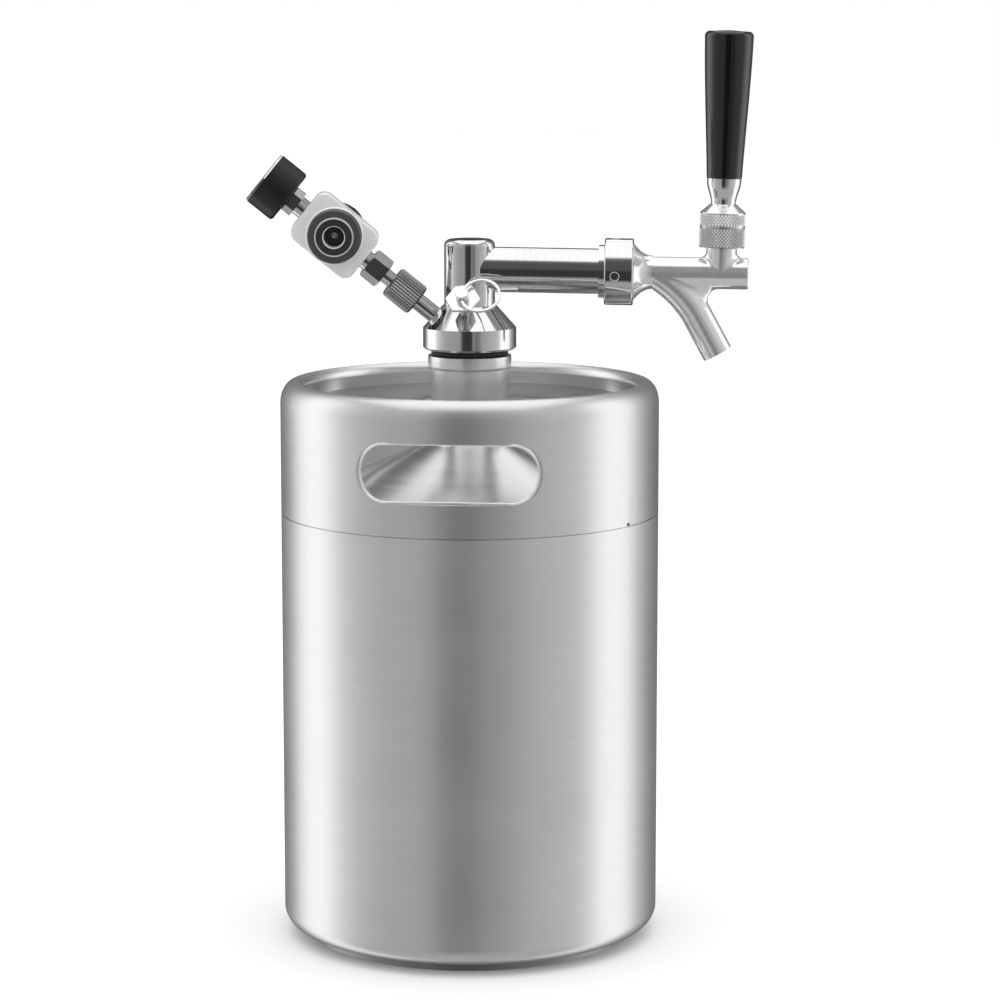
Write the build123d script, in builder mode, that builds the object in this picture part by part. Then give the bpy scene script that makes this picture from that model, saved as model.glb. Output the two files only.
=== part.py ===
from build123d import *
from math import cos, degrees, pi, radians, sin, sqrt, tan
import os

# A five-litre stainless mini keg with a screw-in tap head, a beer faucet and a mini CO2 regulator.
# Frame: Z up, origin in the middle of the foot ring's underside, +X out along the tap's shank.
# Lengths are millimetres and angles are degrees.

# Keg
keg_radius = 87.5
wall = 1.0
bottom_height = 4.5
bottom_corner = 8.0
dish_radius = 70.0
dish_rise = 8.0
seam_height = 199.0
seam_gap = 0.4
foot_radius = 75.0
foot_width = 3.0
flange_depth = 7.0
cone_height = 203.0
cone_radius = 85.0
dome_slope = 23.4
knuckle = 4.0
neck_radius = 17.8
neck_bore = 15.6
neck_base = 236.0
neck_top = 271.6
collar_radius = 19.25
collar_base = 265.5

# Top skirt with its rolled rim and two handle slots
rim_top = 260.0
rim_shoulder = 250.0
rim_crest_radius = 81.0
rim_lip_radius = 77.1
rim_lip_turn = 255.5
rim_lip_end = 250.0
slot_middle = 227.7
slot_half_height = 13.5
slot_half_angle = 27.6
slot_azimuth = -93.2
slot_lip_depth = 3.0
drain_azimuth = -32.0
drain_radius = 1.6

# Tap head
thread_pitch = 2.0
plug_bottom = 250.0
plug_core = 14.3
plug_crest = 14.9
cap_base = 274.4
cap_radius = 21.5
cap_shoulder = 284.4
cap_top = 294.5
cap_top_radius = 12.5
column_radius = 11.7
column_top = 325.0
column_round = 3.0
spigot_radius = 6.0
spigot_bottom = 286.5
dip_radius = 4.75
dip_wall = 0.7
dip_bottom = 17.0
dip_top = 284.0
passage_radius = 1.3
passage_ring = 10.2

# Tap: the shank's axis droops a little, and the lever leans a little forward
tap_height = 311.2
tap_droop = 0.8
beer_bore = 3.5
shank_radius = 10.4
shank_end = 66.0
ferrule_start = 59.4
nut_start = 62.0
nut_end = 75.3
nut_radius = 15.3
washer_start = 70.0
washer_end = 71.5
tail_end = 84.3
tail_radius = 7.6
barrel_radius = 7.15
barrel_end = 127.8
barrel_bore = 5.0
spout_radius = 7.0
spout_bore = 3.9
spout_bend = 51.0
spout_corner = (-7.3, 98.1)
spout_tip = (-36.8, 114.7)
lever_distance = 115.5
lever_lean = 1.5
pivot_height = 13.6
ball_radius = 5.5
bonnet_radius = 10.25
bonnet_sphere = 12.85
lever_gap = 0.3
boss_radius = 7.0
handle_base = 29.9
handle_top = 96.8
handle_radius = 11.1
handle_corner = 2.2

# Gas line: it climbs out of the cap's cone on the side away from the tap
gas_azimuth = 184.35
gas_elevation = 39.1
gas_height = 276.9
gas_bore = 1.5
post_radius = 4.0
gas_nut_radius = 7.7
gas_nut_span = (31.0, 45.9)
union_span = (50.3, 59.7)
block_span = (62.0, 97.3)
block_width = 26.6
block_half_depth = 9.0
case_radius = 13.25
case_span = (106.2, 120.5)

# Relief valve
relief_azimuth = -96.0
relief_elevation = 41.7
relief_foot_radius = 13.0
vent_offset = 5.2
vent_radius = 1.6
relief_flange_top = 8.2
ring_radius = 8.7
ring_wire = 0.65

parts_folder = "parts"
os.makedirs(parts_folder, exist_ok=True)


def heading(azimuth, elevation):
    """The unit vector at this azimuth about Z and this elevation above the floor."""
    a, e = radians(azimuth), radians(elevation)
    return Vector(cos(e) * cos(a), cos(e) * sin(a), sin(e))


def lathe_plane(origin, along, across):
    """A plane with Y along a lathe axis and X across it."""
    return Plane(origin, x_dir=across, z_dir=across.cross(along))


def square_to(lathe, distance):
    """The plane square to a lathe axis, this far along it."""
    return Plane(lathe.from_local_coords((0, distance, 0)), x_dir=lathe.x_dir, z_dir=lathe.y_dir)


def turned(corners, lathe=Plane.XZ, rounding=0):
    """A lathe-turned piece: (radius, distance) corners spun about the plane's Y axis."""
    with BuildPart() as piece:
        with BuildSketch(lathe):
            with BuildLine():
                FilletPolyline(*corners, radius=rounding, close=True)
            make_face()
        revolve(axis=Axis(lathe.origin, lathe.y_dir))
    return piece


def ridges(core, crest, start, end):
    """The corners of a thread drawn as ring ridges between two distances."""
    count = round(abs(end - start) / thread_pitch)
    step = (end - start) / count
    corners = [(core, start)]
    for turn in range(count):
        base = start + turn * step
        corners += [(core, base + 0.2 * step), (crest, base + 0.45 * step)]
        corners += [(crest, base + 0.55 * step), (core, base + 0.8 * step)]
    return corners + [(core, end)]


def tube(inner, outer, start, end, lathe):
    """A plain ring or tube, from its two radii and its span along a lathe axis."""
    return turned([(inner, start), (outer, start), (outer, end), (inner, end)], lathe)


def coil(lathe, radius, wire, start, end, turns):
    """A helical spring along a lathe axis."""
    with BuildPart() as spring:
        with BuildLine():
            foot = lathe.from_local_coords((0, start, 0))
            rise = end - start
            path = Helix(rise / turns, rise, radius, center=foot, direction=lathe.y_dir)
        with BuildSketch(Plane(path @ 0, z_dir=path % 0)):
            Circle(wire)
        sweep(is_frenet=True)
    return spring


def save(piece, label):
    """Name a finished piece and write it."""
    piece.part.label = label
    export_step(piece.part, f"{parts_folder}/{label}.step")


# ---- Keg ------------------------------------------------------------------------------------


def cone_z(radius, drop=0.0):
    """Height of the dome's outer cone at a radius, or of the surface a drop below it."""
    return cone_height + (cone_radius - radius) * tan(radians(dome_slope)) - drop / cos(radians(dome_slope))


with BuildPart() as body_shell:
    with BuildSketch(Plane.XZ):
        with BuildLine():
            inner = keg_radius - wall
            floor = bottom_height + wall
            sphere = (dish_radius**2 + dish_rise**2) / (2 * dish_rise)
            sag = sphere - sqrt(sphere**2 - (dish_radius / 2) ** 2)
            middle = bottom_height + dish_rise
            ThreePointArc((0, middle), (dish_radius / 2, middle - sag), (dish_radius, bottom_height))
            Line((dish_radius, bottom_height), (keg_radius - bottom_corner, bottom_height))
            corner_centre = (keg_radius - bottom_corner, bottom_height + bottom_corner)
            CenterArc(corner_centre, bottom_corner, -90, 90)
            Line((keg_radius, bottom_height + bottom_corner), (keg_radius, seam_height))
            Line((keg_radius, seam_height), (inner, seam_height))
            Line((inner, seam_height), (inner, bottom_height + bottom_corner))
            CenterArc(corner_centre, bottom_corner - wall, 0, -90)
            Line((keg_radius - bottom_corner, floor), (dish_radius, floor))
            ThreePointArc((dish_radius, floor), (dish_radius / 2, middle - sag + wall), (0, middle + wall))
            Line((0, middle + wall), (0, middle))
        make_face()
    revolve(axis=Axis.Z)
save(body_shell, "body_shell")

foot_corners = [
    (foot_radius - foot_width, 0),
    (foot_radius, 0),
    (foot_radius, bottom_height),
    (foot_radius - foot_width, bottom_height),
]
foot_ring = turned(foot_corners)
save(foot_ring, "foot_ring")

dome_out = keg_radius - wall
dome_in = dome_out - wall
stub_in = neck_radius - wall
dome_corners = [
    (dome_out, seam_height - flange_depth),
    (dome_out, cone_z(dome_out)),
    (neck_radius, cone_z(neck_radius)),
    (neck_radius, neck_base),
    (stub_in, neck_base),
    (stub_in, cone_z(stub_in, wall)),
    (dome_in, cone_z(dome_in, wall)),
    (dome_in, seam_height - flange_depth),
]
dome_rounding = [0, knuckle, knuckle + wall, 0, 0, knuckle + 2 * wall, knuckle - wall, 0]
dome_head = turned(dome_corners, rounding=dome_rounding)
save(dome_head, "dome_head")

neck_thread = ridges(neck_bore, neck_bore - 0.4, neck_top - 2.0, plug_bottom)
neck_corners = [
    (neck_bore, neck_base),
    (neck_radius, neck_base),
    (neck_radius, neck_top),
    (neck_bore, neck_top),
]
neck_tube = turned(neck_corners + neck_thread)
save(neck_tube, "neck_tube")

collar_corners = [
    (neck_radius, collar_base),
    (collar_radius, collar_base),
    (collar_radius, neck_top),
    (neck_radius, neck_top),
]
neck_collar = turned(collar_corners, rounding=[0, 1.2, 0.3, 0])
save(neck_collar, "neck_collar")


def slot_shape(half_height, inside, outside):
    """Both round-ended handle slots as solids: a curved bar with a round bar across each end."""
    straight = slot_half_angle - degrees(slot_half_height / keg_radius)
    with BuildPart() as shape:
        for middle in (slot_azimuth, slot_azimuth + 180):
            start = middle - straight
            with BuildSketch(lathe_plane((0, 0, slot_middle), Vector(0, 0, 1), heading(start, 0))):
                with Locations(((inside + outside) / 2, 0)):
                    Rectangle(outside - inside, 2 * half_height)
            revolve(axis=Axis.Z, revolution_arc=2 * straight)
            for end in (middle - straight, middle + straight):
                out = heading(end, 0)
                with BuildSketch(Plane(out * inside + Vector(0, 0, slot_middle), z_dir=out)):
                    Circle(half_height)
                extrude(amount=outside - inside)
    return shape


slot_lips = slot_shape(slot_half_height + wall, keg_radius - wall - slot_lip_depth, keg_radius - wall / 2)
slot_cuts = slot_shape(slot_half_height, keg_radius - wall - 2 * slot_lip_depth, keg_radius + wall)

with BuildPart() as top_skirt:
    foot = seam_height + seam_gap
    skin = keg_radius - wall
    crest_in = rim_crest_radius - rim_lip_radius
    crest_out = keg_radius - rim_crest_radius
    rise = rim_top - rim_shoulder
    turn = rim_top - rim_lip_turn
    with BuildSketch(Plane.XZ):
        with BuildLine():
            Line((skin, foot), (keg_radius, foot))
            Line((keg_radius, foot), (keg_radius, rim_shoulder))
            EllipticalCenterArc((rim_crest_radius, rim_shoulder), crest_out, rise, 0, arc_size=90)
            EllipticalCenterArc((rim_crest_radius, rim_lip_turn), crest_in, turn, 90, arc_size=90)
            Line((rim_lip_radius, rim_lip_turn), (rim_lip_radius, rim_lip_end))
            Line((rim_lip_radius, rim_lip_end), (rim_lip_radius + wall, rim_lip_end))
            Line((rim_lip_radius + wall, rim_lip_end), (rim_lip_radius + wall, rim_lip_turn))
            lip_centre = (rim_crest_radius, rim_lip_turn)
            EllipticalCenterArc(lip_centre, crest_in - wall, turn - wall, 90, arc_size=90)
            crest_centre = (rim_crest_radius, rim_shoulder)
            EllipticalCenterArc(crest_centre, crest_out - wall, rise - wall, 0, arc_size=90)
            Line((skin, rim_shoulder), (skin, foot))
        make_face()
    revolve(axis=Axis.Z)
    add(slot_lips.part)
    add(slot_cuts.part, mode=Mode.SUBTRACT)
    drain = heading(drain_azimuth, 0)
    with BuildSketch(Plane(drain * (skin - wall) + Vector(0, 0, foot), z_dir=drain)):
        Circle(drain_radius)
    extrude(amount=3 * wall, mode=Mode.SUBTRACT)
save(top_skirt, "top_skirt")

# ---- Tap head: cap, column and dip tube -------------------------------------------------------
tap = lathe_plane((0, 0, tap_height), heading(0, -tap_droop), heading(0, 90 - tap_droop))
gas = lathe_plane(
    (0, 0, gas_height), heading(gas_azimuth, gas_elevation), heading(gas_azimuth, gas_elevation + 90)
)
cap_slope = (cap_top - cap_shoulder) / (cap_radius - cap_top_radius)
relief_foot = heading(relief_azimuth, 0) * relief_foot_radius
relief_foot += Vector(0, 0, cap_shoulder + (cap_radius - relief_foot_radius) * cap_slope)
relief = lathe_plane(
    relief_foot,
    heading(relief_azimuth, relief_elevation),
    heading(relief_azimuth, relief_elevation + 90),
)

seal_corners = [(15.2, neck_top), (17.75, neck_top), (17.75, cap_base), (15.2, cap_base)]
head_seal = turned(seal_corners, rounding=[0.6, 1.2, 1.2, 0.6])
save(head_seal, "head_seal")

plug_thread = ridges(plug_core, plug_crest, plug_bottom + 1.0, plug_bottom + 19.0)
cap_corners = [(dip_radius, plug_bottom), (plug_core, plug_bottom)] + plug_thread
cap_corners += [
    (plug_crest, plug_bottom + 19.5),
    (plug_crest, cap_base),
    (cap_radius - 1.0, cap_base),
    (cap_radius, cap_base + 1.0),
    (cap_radius, cap_shoulder),
    (cap_top_radius, cap_top),
    (spigot_radius, cap_top),
    (spigot_radius, spigot_bottom),
    (dip_radius - dip_wall, spigot_bottom),
    (dip_radius - dip_wall, dip_top),
    (dip_radius, dip_top),
]
post_start = 14.0
relief_bore = 3.0
relief_floor = -5.0
with BuildPart() as head_cap:
    with BuildSketch(Plane.XZ):
        with BuildLine():
            Polyline(*cap_corners, close=True)
        make_face()
    revolve(axis=Axis.Z)
    with BuildSketch(square_to(gas, post_start)):
        Circle(post_radius)
    extrude(amount=20, mode=Mode.SUBTRACT)
    with BuildSketch(square_to(relief, relief_floor)):
        Circle(relief_bore)
    extrude(amount=20, mode=Mode.SUBTRACT)
    relief_inlet = relief_foot + heading(relief_azimuth, relief_elevation) * relief_floor
    for azimuth, top in ((gas_azimuth, 287.6), (relief_azimuth, relief_inlet.Z + 0.5)):
        with BuildSketch(Plane(heading(azimuth, 0) * passage_ring + Vector(0, 0, plug_bottom))):
            Circle(passage_radius)
        extrude(amount=top - plug_bottom, mode=Mode.SUBTRACT)
    vent = relief.from_local_coords((-vent_offset, 1.5, 0))
    with BuildSketch(Plane(vent, z_dir=-relief.y_dir)):
        Circle(vent_radius)
    extrude(amount=5.5, mode=Mode.SUBTRACT)
save(head_cap, "head_cap")

groove_span = (289.0, 291.0)
groove_core = spigot_radius - 1.2
column_groove = [(groove_core, groove_span[0]), (groove_core, groove_span[1])]
with BuildPart() as column:
    with BuildSketch(Plane.XZ):
        with BuildLine():
            corners = [
                (0, spigot_bottom),
                (spigot_radius, spigot_bottom),
                (spigot_radius, groove_span[0]),
                *column_groove,
                (spigot_radius, groove_span[1]),
                (spigot_radius, cap_top),
                (column_radius, cap_top),
                (column_radius, column_top),
                (0, column_top),
            ]
            FilletPolyline(*corners, radius=[0] * 8 + [column_round, 0], close=True)
        make_face()
    revolve(axis=Axis.Z)
    with BuildSketch(Plane.XY.offset(spigot_bottom)):
        Circle(beer_bore)
    extrude(amount=tap_height + 2 - spigot_bottom, mode=Mode.SUBTRACT)
    with BuildSketch(square_to(tap, 0)):
        Circle(beer_bore)
    extrude(amount=20, mode=Mode.SUBTRACT)
    with BuildSketch(square_to(relief, relief_floor)):
        Circle(relief_bore)
    extrude(amount=12, mode=Mode.SUBTRACT)
save(column, "column")

column_seal = tube(groove_core, spigot_radius, *groove_span, Plane.XZ)
save(column_seal, "column_seal")

with BuildPart() as dip_tube:
    with BuildSketch(Plane.XY.offset(dip_bottom)):
        Circle(dip_radius)
        Circle(dip_radius - dip_wall, mode=Mode.SUBTRACT)
    extrude(amount=dip_top - dip_bottom)
    foot_notch = Plane.XZ.offset(-2 * dip_radius)
    with BuildSketch(foot_notch):
        with Locations((0, dip_bottom)):
            Circle(2.5)
    extrude(amount=4 * dip_radius, mode=Mode.SUBTRACT)
save(dip_tube, "dip_tube")

# ---- Shank and faucet --------------------------------------------------------------------------
with BuildPart() as shank_tube:
    with BuildSketch(square_to(tap, 4)):
        Circle(shank_radius)
    extrude(amount=shank_end - 4)
    with BuildSketch(Plane.XY.offset(tap_height - 20)):
        Circle(column_radius)
    extrude(amount=40, mode=Mode.SUBTRACT)
    with BuildSketch(square_to(tap, 0)):
        Circle(beer_bore)
    extrude(amount=shank_end + 1, mode=Mode.SUBTRACT)
save(shank_tube, "shank_tube")

ferrule_corners = [
    (shank_radius, shank_end),
    (shank_radius, ferrule_start),
    (12.1, ferrule_start),
    (12.1, nut_start),
    *ridges(13.2, 13.8, nut_start, washer_start),
    (beer_bore, washer_start),
    (beer_bore, shank_end),
]
shank_ferrule = turned(ferrule_corners, tap)
save(shank_ferrule, "shank_ferrule")

flange_radius = 13.6
lip_start = 73.3
lip_radius = 12.85
nut_corners = [
    (14.0, nut_start),
    (nut_radius, nut_start),
    (nut_radius, nut_end),
    (lip_radius, nut_end),
    (lip_radius, lip_start),
    (14.0, lip_start),
]
spanner_turn, spanner_distance, spanner_floor = 94.0, 66.9, 14.3
with BuildPart() as coupling_nut:
    with BuildSketch(tap):
        with BuildLine():
            FilletPolyline(*nut_corners, radius=[0, 0.8, 0.8, 0, 0, 0], close=True)
        make_face()
    revolve(axis=Axis(tap.origin, tap.y_dir))
    for quarter in range(4):
        side = Axis(tap.origin, tap.y_dir)
        out = Vector(tap.x_dir).rotate(side, spanner_turn + 90 * quarter)
        foot = tap.from_local_coords((0, spanner_distance, 0)) + out * spanner_floor
        with BuildSketch(Plane(foot, z_dir=out)):
            Circle(2.0)
        extrude(amount=2, mode=Mode.SUBTRACT)
save(coupling_nut, "coupling_nut")

coupling_washer = tube(4.5, 13.0, washer_start, washer_end, tap)
save(coupling_washer, "coupling_washer")

with BuildPart() as faucet_tail:
    with BuildSketch(tap):
        with BuildLine():
            Polyline(
                (tail_radius, tail_end),
                (6.4, tail_end),
                (6.4, 73.0),
                (4.5, 73.0),
                (4.5, washer_end),
                (flange_radius, washer_end),
                (flange_radius, lip_start),
                (lip_radius - 0.1, lip_start),
                (lip_radius - 0.1, nut_end + 0.2),
            )
            Spline(
                (lip_radius - 0.1, nut_end + 0.2),
                (tail_radius, tail_end),
                tangents=[(-1.0, 0.95), (0.0, 1.0)],
                tangent_scalars=[0.9, 1.3],
            )
        make_face()
    revolve(axis=Axis(tap.origin, tap.y_dir))
save(faucet_tail, "faucet_tail")

pivot = tap.from_local_coords((pivot_height, lever_distance, 0))
lever_axis = lathe_plane(pivot, heading(0, 90 - lever_lean), heading(0, -lever_lean))
tip_point = tap.from_local_coords((*spout_tip, 0))
spout_down = (tip_point - tap.from_local_coords((*spout_corner, 0))).normalized()
boss_top = 3.2
boss_floor = -3.2
cup_radius = 5.85
seat_mouth = 4.9
bonnet_base = -1.7
guide_start = 122.0
guide_radius = 2.26

crotch_blend = 5.0
boss_blend = 3.0
slot_front = 3.0
slot_back = -6.4


def long_seams(piece, length):
    """The curved edges where two round bars meet, at least this long."""
    return piece.edges().filter_by(GeomType.BSPLINE).filter_by(lambda edge: edge.length > length)


with BuildPart() as faucet_body:
    with BuildSketch(square_to(tap, tail_end)):
        Circle(barrel_radius)
    extrude(amount=barrel_end - tail_end)
    with BuildLine(tap) as elbow_path:
        FilletPolyline((0, tail_end), spout_corner, spout_tip, radius=spout_bend)
    with BuildSketch(Plane(elbow_path.line @ 0, z_dir=elbow_path.line % 0)):
        Circle(spout_radius)
    sweep(path=elbow_path.line)
    split(bisect_by=square_to(tap, tail_end), keep=Keep.TOP)
    fillet(long_seams(faucet_body, 20), crotch_blend)
    with BuildSketch(square_to(lever_axis, -pivot_height)):
        Circle(boss_radius)
    extrude(amount=pivot_height + bonnet_base)
    joint = faucet_body.edges(Select.LAST).filter_by(GeomType.BSPLINE)
    fillet(joint.filter_by(lambda edge: edge.length > 20), boss_blend)
    fillet(faucet_body.edges().filter_by(GeomType.CIRCLE).sort_by(Axis.X)[-1], 0.6)
    with BuildSketch(square_to(lever_axis, bonnet_base)):
        Circle(8.6)
    extrude(amount=boss_top - bonnet_base)
    with BuildSketch(square_to(lever_axis, boss_floor)):
        Circle(cup_radius)
    extrude(amount=boss_top - boss_floor + 1, mode=Mode.SUBTRACT)
    with BuildSketch(square_to(lever_axis, boss_floor - 3.0)):
        Circle(seat_mouth)
    extrude(amount=4, mode=Mode.SUBTRACT)
    with BuildSketch(square_to(lever_axis, -pivot_height)):
        with Locations(((slot_front + slot_back) / 2, 0)):
            SlotOverall(slot_front - slot_back, 5.2)
    extrude(amount=pivot_height, mode=Mode.SUBTRACT)
    with BuildSketch(square_to(tap, tail_end - 1)):
        Circle(barrel_bore)
    extrude(amount=guide_start - tail_end + 1, mode=Mode.SUBTRACT)
    with BuildSketch(square_to(tap, guide_start - 1)):
        Circle(guide_radius)
    extrude(amount=5.5, mode=Mode.SUBTRACT)
    with BuildSketch(Plane(tip_point + spout_down, z_dir=-spout_down)):
        Circle(spout_bore)
    extrude(amount=42, mode=Mode.SUBTRACT)
save(faucet_body, "faucet_body")

rod_radius = 2.2
slider_radius = 4.7
with BuildPart() as faucet_shaft:
    with BuildSketch(tap):
        with BuildLine():
            Polyline(
                (0, 79.8),
                (5.6, 79.8),
                (5.6, 82.3),
                (rod_radius, 82.3),
                (rod_radius, 109.5),
                (slider_radius, 109.5),
                (slider_radius, 121.5),
                (rod_radius, 121.5),
                (rod_radius, 125.5),
                (0, 125.5),
                close=True,
            )
        make_face()
    revolve(axis=Axis(tap.origin, tap.y_dir))
    flat = Plane(tap.from_local_coords((2.8, lever_distance, 0)), x_dir=tap.y_dir, z_dir=tap.x_dir)
    with BuildSketch(flat):
        Rectangle(14, 12)
    extrude(amount=4, mode=Mode.SUBTRACT)
    with BuildSketch(flat):
        SlotOverall(7.6, 4.8)
    extrude(amount=-10, mode=Mode.SUBTRACT)
save(faucet_shaft, "faucet_shaft")

seat_washer = tube(rod_radius, 5.9, 82.3, tail_end, tap)
save(seat_washer, "seat_washer")

neck_below, neck_above, stud_radius = 2.0, 2.6, 4.4
stud_start, stud_end = 15.0, 44.0
tip_depth = -15.0
ball_low = -sqrt(ball_radius**2 - neck_below**2)
ball_high = sqrt(ball_radius**2 - neck_above**2)
with BuildPart() as lever:
    with BuildSketch(lever_axis):
        with BuildLine():
            Line((0, tip_depth), (neck_below - 0.6, tip_depth))
            Line((neck_below - 0.6, tip_depth), (neck_below, tip_depth + 0.6))
            Line((neck_below, tip_depth + 0.6), (neck_below, ball_low))
            ThreePointArc((neck_below, ball_low), (ball_radius, 0), (neck_above, ball_high))
            Polyline(
                (neck_above, ball_high),
                (neck_above, stud_start),
                (stud_radius, stud_start),
                (stud_radius, stud_end),
                (0, stud_end),
                (0, tip_depth),
            )
        make_face()
    revolve(axis=Axis(lever_axis.origin, lever_axis.y_dir))
save(lever, "lever")

seat_height = 2.0
seat_crest = 5.75
lower_corners = [
    (cup_radius, boss_floor),
    (cup_radius, boss_floor + seat_height),
    (seat_crest, boss_floor + seat_height),
    (seat_mouth, boss_floor),
]
lower_seat = turned(lower_corners, lever_axis)
save(lower_seat, "ball_seat")
upper_corners = [
    (cup_radius, boss_top),
    (cup_radius, boss_top - seat_height),
    (seat_crest, boss_top - seat_height),
    (seat_mouth, boss_top),
]
upper_seat = turned(upper_corners, lever_axis)
save(upper_seat, "friction_ring")


def on_sphere(sphere_radius, radius):
    """The (radius, height) point on a sphere about the lever's pivot."""
    return (radius, sqrt(sphere_radius**2 - radius**2))


mouth_radius = 7.8
mid_radius = (mouth_radius + bonnet_radius) / 2
with BuildPart() as faucet_bonnet:
    with BuildSketch(lever_axis):
        with BuildLine():
            rim = on_sphere(bonnet_sphere, bonnet_radius)
            mouth = on_sphere(bonnet_sphere, mouth_radius)
            ThreePointArc(rim, on_sphere(bonnet_sphere, mid_radius), mouth)
            Polyline(
                mouth,
                (seat_mouth, boss_top),
                (9.0, boss_top),
                (9.0, bonnet_base),
                (bonnet_radius, bonnet_base),
                rim,
            )
        make_face()
    revolve(axis=Axis(lever_axis.origin, lever_axis.y_dir))
save(faucet_bonnet, "faucet_bonnet")

collar_top = 14.4
collar_nose = 18.2
lever_collar_radius = 10.4
with BuildPart() as lever_collar:
    with BuildSketch(lever_axis):
        with BuildLine():
            cup = bonnet_sphere + lever_gap
            rim = on_sphere(cup, lever_collar_radius)
            hole = on_sphere(cup, neck_above)
            ThreePointArc(rim, on_sphere(cup, 7.0), hole)
            Polyline(
                hole,
                (neck_above, stud_start),
                (stud_radius, stud_start),
                (stud_radius, collar_nose),
                (6.0, collar_nose),
                (lever_collar_radius, collar_top),
                rim,
            )
        make_face()
    revolve(axis=Axis(lever_axis.origin, lever_axis.y_dir))
save(lever_collar, "lever_collar")

with BuildPart() as handle_ferrule:
    with BuildSketch(lever_axis):
        with BuildLine():
            Polyline(
                (7.85, handle_base - 1.5),
                (7.85, handle_base),
                (stud_radius, handle_base),
                (stud_radius, collar_nose),
                (5.6, collar_nose),
            )
            Spline((5.6, collar_nose), (7.85, handle_base - 1.5), tangents=[(0.05, 1), (0.05, 1)])
        make_face()
    revolve(axis=Axis(lever_axis.origin, lever_axis.y_dir))
save(handle_ferrule, "handle_ferrule")

insert_radius = 6.0
insert_top = 48.0
with BuildPart() as tap_handle:
    with BuildSketch(lever_axis):
        with BuildLine():
            Line((insert_radius, handle_base), (7.7, handle_base))
            ThreePointArc((7.7, handle_base), (8.0, handle_base + 0.2), (8.1, handle_base + 0.8))
            shoulder = handle_top - handle_corner - 0.4
            Spline((8.1, handle_base + 0.8), (handle_radius, shoulder), tangents=[(0.045, 1), (0.02, 1)])
            corner = handle_corner * sqrt(0.5)
            ThreePointArc(
                (handle_radius, shoulder),
                (handle_radius - handle_corner + corner, shoulder + corner),
                (handle_radius - handle_corner, shoulder + handle_corner),
            )
            Spline(
                (handle_radius - handle_corner, shoulder + handle_corner),
                (0, handle_top),
                tangents=[(-1, 0), (-1, 0)],
            )
            Polyline(
                (0, handle_top),
                (0, insert_top),
                (insert_radius, insert_top),
                (insert_radius, handle_base),
            )
        make_face()
    revolve(axis=Axis(lever_axis.origin, lever_axis.y_dir))
save(tap_handle, "tap_handle")

handle_insert = tube(stud_radius, insert_radius, handle_base, insert_top, lever_axis)
save(handle_insert, "handle_insert")

# ---- Gas line ------------------------------------------------------------------------------------
head_start, head_end = 31.4, 40.2
nipple_flange = 41.0
post_corners = [(gas_bore, post_start), (post_radius, post_start), (post_radius, head_start)]
post_corners += ridges(4.9, 5.4, head_start, head_end)
post_corners += [(gas_bore, head_end)]
gas_post = turned(post_corners, gas)
save(gas_post, "gas_post")

seal_slack = 0.02
gas_seal = tube(gas_bore + 0.3, 4.8, head_end, nipple_flange - seal_slack, gas)
save(gas_seal, "gas_seal")

flute_count = 34
flute_depth = 0.5
nut_bore = 5.8
nut_lip = 43.9
with BuildPart() as gas_nut:
    with BuildSketch(square_to(gas, gas_nut_span[0])):
        with BuildLine():
            flutes = []
            for flute in range(2 * flute_count):
                reach = gas_nut_radius - flute_depth * (flute % 2)
                turn = pi * flute / flute_count
                flutes.append((reach * cos(turn), reach * sin(turn)))
            Polyline(*flutes, close=True)
        make_face()
    extrude(amount=gas_nut_span[1] - gas_nut_span[0])
    with BuildSketch(gas):
        with BuildLine():
            Polyline(
                (nut_bore, gas_nut_span[0]),
                (6.8, gas_nut_span[0]),
                (7.8, gas_nut_span[0] + 1.2),
                (7.8, gas_nut_span[1] - 1.2),
                (6.6, gas_nut_span[1]),
                (3.8, gas_nut_span[1]),
                (3.8, nut_lip),
                (nut_bore, nut_lip),
                close=True,
            )
        make_face()
    revolve(axis=Axis(gas.origin, gas.y_dir), mode=Mode.INTERSECT)
save(gas_nut, "gas_nut")

nipple_corners = [
    (gas_bore, nipple_flange),
    (5.2, nipple_flange),
    (5.2, nipple_flange + 2.5),
    (3.5, nipple_flange + 2.5),
    (3.5, 52.3),
    (4.8, 52.3),
    (4.8, 54.3),
    (gas_bore, 54.3),
]
gas_nipple = turned(nipple_corners, gas)
save(gas_nipple, "gas_nipple")

union_flats = 12.8
with BuildPart() as union_nut:
    with BuildSketch(square_to(gas, union_span[0])):
        RegularPolygon(union_flats / 2, 6, major_radius=False)
        Circle(3.5, mode=Mode.SUBTRACT)
    extrude(amount=union_span[1] - union_span[0])
    with BuildSketch(gas):
        with BuildLine():
            Polyline(
                (0, union_span[0]),
                (6.3, union_span[0]),
                (7.5, union_span[0] + 0.8),
                (7.5, union_span[1] - 0.8),
                (6.3, union_span[1]),
                (0, union_span[1]),
                close=True,
            )
        make_face()
    revolve(axis=Axis(gas.origin, gas.y_dir), mode=Mode.INTERSECT)
    with BuildSketch(square_to(gas, 52.3)):
        Circle(5.0)
    extrude(amount=union_span[1], mode=Mode.SUBTRACT)
save(union_nut, "union_nut")

inlet_root = 66.0
inlet_corners = [
    (gas_bore, 54.3),
    (4.95, 54.3),
    (4.95, union_span[1]),
    (4.45, union_span[1]),
    (4.45, block_span[0]),
    (3.0, block_span[0]),
    (3.0, inlet_root),
    (gas_bore, inlet_root),
]
regulator_inlet = turned(inlet_corners, gas)
save(regulator_inlet, "regulator_inlet")

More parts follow.
